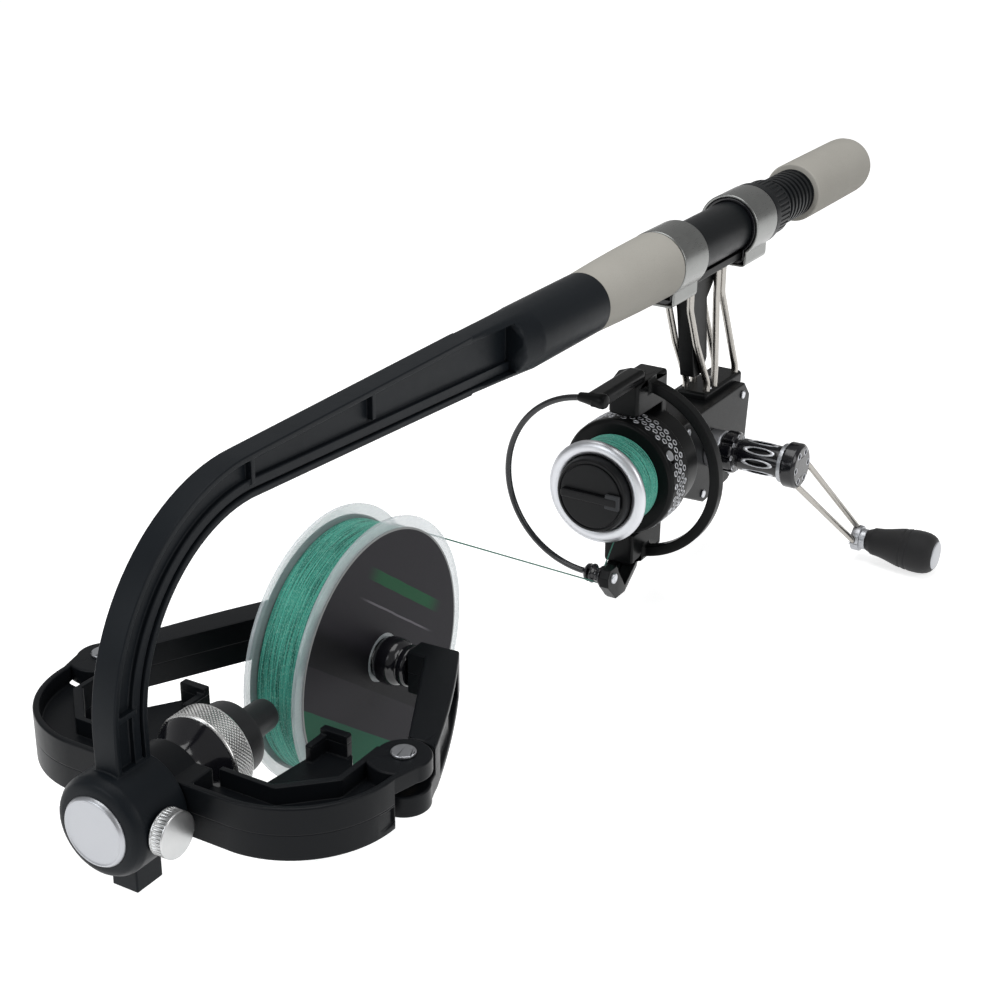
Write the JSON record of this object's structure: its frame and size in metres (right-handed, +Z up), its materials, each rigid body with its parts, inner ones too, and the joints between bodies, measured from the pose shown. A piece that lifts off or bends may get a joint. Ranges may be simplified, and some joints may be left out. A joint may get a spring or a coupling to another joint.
{
  "type": "fishing line winder",
  "caption": "Hand-held line winding arm with a swivelling yoke that carries a bulk spool of line between sprung cones, and a spinning reel clamped in its reel seat.",
  "frame": {"origin": "on the handle's axis at the middle of the butt grip", "axes": "+X along the handle towards the butt, +Z up, the bulk spool and the crank turn about Y with the crank on the -Y side"},
  "size_m": [0.5769, 0.1791, 0.1649],
  "materials": {
    "arm_plastic": "satin moulded",
    "black_gloss": "gloss",
    "yoke_plastic": "satin moulded",
    "seat_black": "satin",
    "foam_grey": "matte foam",
    "satin_metal": "satin",
    "steel": "brushed",
    "bright_metal": "polished",
    "black_metal": "satin anodised",
    "clear_plastic": "clear",
    "green_line": "fine braid",
    "label_card": "printed card, plain",
    "knob_rubber": "soft matte",
    "spring_steel": "drawn wire",
    "brass_gear": "machined",
    "brake_pad": "satin"
  },
  "bodies": {
    "handle": {"arm_frame": "arm_plastic", "hub_cap": "satin_metal", "handle_tube": "black_metal", "fore_grip": "foam_grey", "seat_body": "seat_black", "fixed_hood": "satin_metal", "fixed_hood_liner": "black_gloss", "butt_grip": "foam_grey", "reel_foot": "black_metal", "reel_stem_rods": "steel", "reel_body": "black_metal", "reel_side_plate": "black_metal", "reel_body_screws": "bright_metal", "reel_collar": "satin_metal", "reel_bearings": "steel", "free_line": "green_line"},
    "lock_screw": {"thumb_screw": "bright_metal"},
    "moving_hood": {"sliding_hood": "satin_metal", "sliding_hood_liner": "black_gloss"},
    "hood_nut": {"lock_nut": "black_gloss"},
    "yoke": {"yoke_frame": "yoke_plastic", "hub_axle": "steel", "hinge_pins": "satin_metal", "tension_post": "steel"},
    "tension_slider": {"tension_pad": "brake_pad"},
    "tension_knob": {"tension_knob_ring": "steel", "tension_knob_cone": "black_gloss"},
    "near_arm": {"swing_arm_near": "yoke_plastic", "cone_axle_near": "steel", "hinge_spring_near": "spring_steel"},
    "far_arm": {"swing_arm_far": "yoke_plastic", "cone_axle_far": "steel", "hinge_spring_far": "spring_steel"},
    "near_cone": {"cone_near": "black_gloss"},
    "far_cone": {"cone_far": "black_gloss"},
    "supply": {"supply_spool": "clear_plastic", "supply_line_core": "green_line", "supply_line_winding": "green_line", "supply_labels": "label_card"},
    "crank": {"crank_shaft": "steel", "drive_gear": "brass_gear", "crank_shank": "black_gloss", "crank_ring": "satin_metal", "crank_cap": "black_gloss", "crank_arms": "steel", "crank_bracket": "satin_metal"},
    "crank_knob": {"knob_grip": "knob_rubber", "knob_cap": "satin_metal"},
    "rotor_head": {"rotor": "black_metal", "pinion_gear": "brass_gear"},
    "bail": {"bail_wire": "black_metal", "bail_arms": "black_metal"},
    "roller": {"line_roller": "bright_metal"},
    "spool_head": {"reel_spool": "black_metal", "reel_spool_lip": "bright_metal", "reel_line_core": "green_line", "reel_line_winding": "green_line", "main_shaft": "steel"},
    "drag": {"drag_knob": "black_gloss"}
  },
  "joints": [
    {"name": "lock_screw_turn", "type": "hinge", "parent": "handle", "child": "lock_screw", "pos_m": [-0.5265, -0.019, -0.083], "axis": [0, 1, 0], "range_deg": [-720, 0]},
    {"name": "hood_slide", "type": "slide", "parent": "handle", "child": "moving_hood", "axis": [1, 0, 0], "range_m": [0, 0.0125]},
    {"name": "hood_nut_turn", "type": "hinge", "parent": "moving_hood", "child": "hood_nut", "pos_m": [-0.08, 0, 0], "axis": [1, 0, 0], "range_deg": [-10, 1090]},
    {"name": "yoke_swivel", "type": "hinge", "parent": "handle", "child": "yoke", "pos_m": [-0.51, 0, -0.083], "axis": [1, 0, 0], "range_deg": [-90, 90], "deforming": ["free_line"]},
    {"name": "tension_knob_turn", "type": "hinge", "parent": "tension_slider", "child": "tension_knob", "pos_m": [-0.4877, 0, -0.083], "axis": [1, 0, 0], "range_deg": [-720, 0]},
    {"name": "tension_feed", "type": "slide", "parent": "yoke", "child": "tension_slider", "axis": [1, 0, 0], "range_m": [-0.00201, 0]},
    {"name": "near_arm_open", "type": "hinge", "parent": "yoke", "child": "near_arm", "pos_m": [-0.4665, -0.0604, -0.083], "axis": [0, 0, -1], "range_deg": [0, 22], "stiffness_Nm_per_rad": 0.12, "springref_deg": -34.38, "deforming": ["hinge_spring_near"]},
    {"name": "far_arm_open", "type": "hinge", "parent": "yoke", "child": "far_arm", "pos_m": [-0.4665, 0.0604, -0.083], "axis": [0, 0, 1], "range_deg": [0, 22], "stiffness_Nm_per_rad": 0.12, "springref_deg": -34.38, "deforming": ["hinge_spring_far"]},
    {"name": "near_cone_spin", "type": "hinge", "parent": "near_arm", "child": "near_cone", "pos_m": [-0.4055, -0.016, -0.083], "axis": [0, 1, 0], "continuous": true},
    {"name": "far_cone_spin", "type": "hinge", "parent": "far_arm", "child": "far_cone", "pos_m": [-0.4055, 0.016, -0.083], "axis": [0, 1, 0], "continuous": true},
    {"name": "supply_spin", "type": "hinge", "parent": "yoke", "child": "supply", "pos_m": [-0.4055, 0, -0.083], "axis": [0, 1, 0], "continuous": true},
    {"name": "crank_turn", "type": "hinge", "parent": "handle", "child": "crank", "pos_m": [-0.1445, -0.03, -0.0935], "axis": [0, 1, 0], "continuous": true, "deforming": ["free_line"]},
    {"name": "knob_spin", "type": "hinge", "parent": "crank", "child": "crank_knob", "pos_m": [-0.1035, -0.092, -0.1405], "axis": [0, 1, 0], "continuous": true},
    {"name": "rotor_spin", "type": "hinge", "parent": "handle", "child": "rotor_head", "pos_m": [-0.19, 0, -0.087], "axis": [1, 0, 0], "continuous": true, "deforming": ["free_line"]},
    {"name": "bail_flip", "type": "hinge", "parent": "rotor_head", "child": "bail", "pos_m": [-0.203, 0, -0.087], "axis": [0, 0, 1], "range_deg": [0, 90], "deforming": ["free_line"]},
    {"name": "roller_spin", "type": "hinge", "parent": "bail", "child": "roller", "pos_m": [-0.2385, -0.0055, -0.121], "axis": [0, 1, 0], "continuous": true},
    {"name": "spool_oscillate", "type": "slide", "parent": "handle", "child": "spool_head", "axis": [1, 0, 0], "range_m": [-0.006, 0.006], "deforming": ["free_line"]},
    {"name": "drag_knob_turn", "type": "hinge", "parent": "spool_head", "child": "drag", "pos_m": [-0.23, 0, -0.087], "axis": [1, 0, 0], "range_deg": [-360, 360]}
  ],
  "couplings": [
    {"joint": "hood_nut_turn", "follows": "hood_slide", "rad_per_m": 1496},
    {"joint": "tension_feed", "follows": "tension_knob_turn", "m_per_rad": 0.00015915},
    {"joint": "near_cone_spin", "follows": "supply_spin", "ratio": 1},
    {"joint": "far_cone_spin", "follows": "supply_spin", "ratio": 1},
    {"joint": "rotor_spin", "follows": "crank_turn", "ratio": -5.2}
  ]
}
